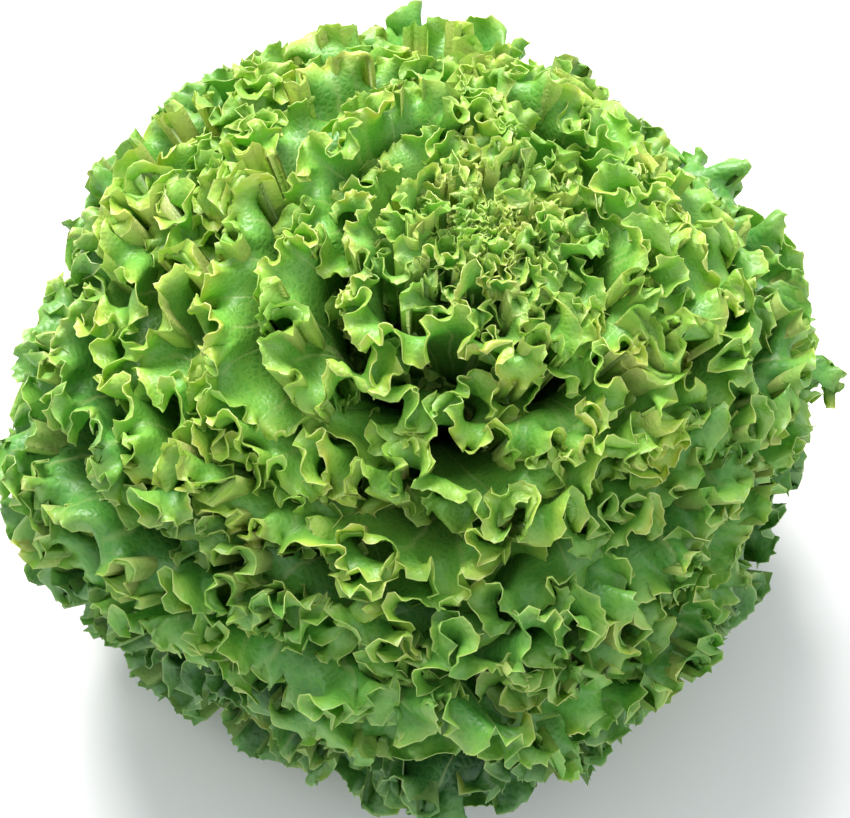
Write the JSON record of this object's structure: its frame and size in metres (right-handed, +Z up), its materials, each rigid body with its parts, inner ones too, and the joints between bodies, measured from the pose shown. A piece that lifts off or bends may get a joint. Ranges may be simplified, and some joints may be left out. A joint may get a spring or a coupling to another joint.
{
  "type": "head of lettuce",
  "caption": "Domed head of frilled loose-leaf lettuce, cut at the stem, resting on the cut and its lowest leaves.",
  "frame": {"origin": "centre of the stem's flat cut face, on the surface that the head stands on", "axes": "+Z up along the stem towards the heart; +X is the side that the heart leans to; -Y is the front"},
  "size_m": [0.2862, 0.2945, 0.2178],
  "materials": {
    "stem": "moist pale green stem with a milky cut face, faintly browned at its rim",
    "outer_leaf": "waxy deep green leaf, satin, with pale ribs and a thin yellow-green edge",
    "middle_leaf": "waxy fresh green leaf, satin, with a thin yellow-green edge",
    "inner_leaf": "waxy light yellow-green leaf, satin, with a pale edge",
    "heart_leaf": "small tight light green leaves, satin"
  },
  "bodies": {
    "root": {"stem": "stem", "leaf_01": "outer_leaf", "leaf_02": "outer_leaf", "leaf_03": "outer_leaf", "leaf_04": "outer_leaf", "leaf_05": "outer_leaf", "leaf_06": "outer_leaf", "leaf_07": "outer_leaf", "leaf_08": "outer_leaf", "leaf_09": "outer_leaf", "leaf_10": "outer_leaf", "leaf_11": "outer_leaf", "leaf_12": "outer_leaf", "leaf_13": "outer_leaf", "leaf_14": "outer_leaf", "leaf_15": "outer_leaf", "leaf_16": "outer_leaf", "leaf_17": "outer_leaf", "leaf_18": "outer_leaf", "leaf_19": "outer_leaf", "leaf_20": "middle_leaf", "leaf_21": "middle_leaf", "leaf_22": "middle_leaf", "leaf_23": "middle_leaf", "leaf_24": "middle_leaf", "leaf_25": "middle_leaf", "leaf_26": "middle_leaf", "leaf_27": "middle_leaf", "leaf_28": "middle_leaf", "leaf_29": "middle_leaf", "leaf_30": "middle_leaf", "leaf_31": "middle_leaf", "leaf_32": "middle_leaf", "leaf_33": "middle_leaf", "leaf_34": "middle_leaf", "leaf_35": "middle_leaf", "leaf_36": "middle_leaf", "leaf_37": "middle_leaf", "leaf_38": "middle_leaf", "leaf_39": "inner_leaf", "leaf_40": "inner_leaf", "leaf_41": "inner_leaf", "leaf_42": "inner_leaf", "leaf_43": "inner_leaf", "leaf_44": "inner_leaf", "leaf_45": "inner_leaf", "leaf_46": "inner_leaf", "leaf_47": "inner_leaf", "leaf_48": "inner_leaf", "leaf_49": "inner_leaf", "leaf_50": "inner_leaf", "leaf_51": "inner_leaf", "leaf_52": "inner_leaf", "leaf_53": "inner_leaf", "leaf_54": "inner_leaf", "leaf_55": "inner_leaf", "leaf_56": "inner_leaf", "leaf_57": "inner_leaf", "heart": "heart_leaf"}
  },
  "joints": []
}
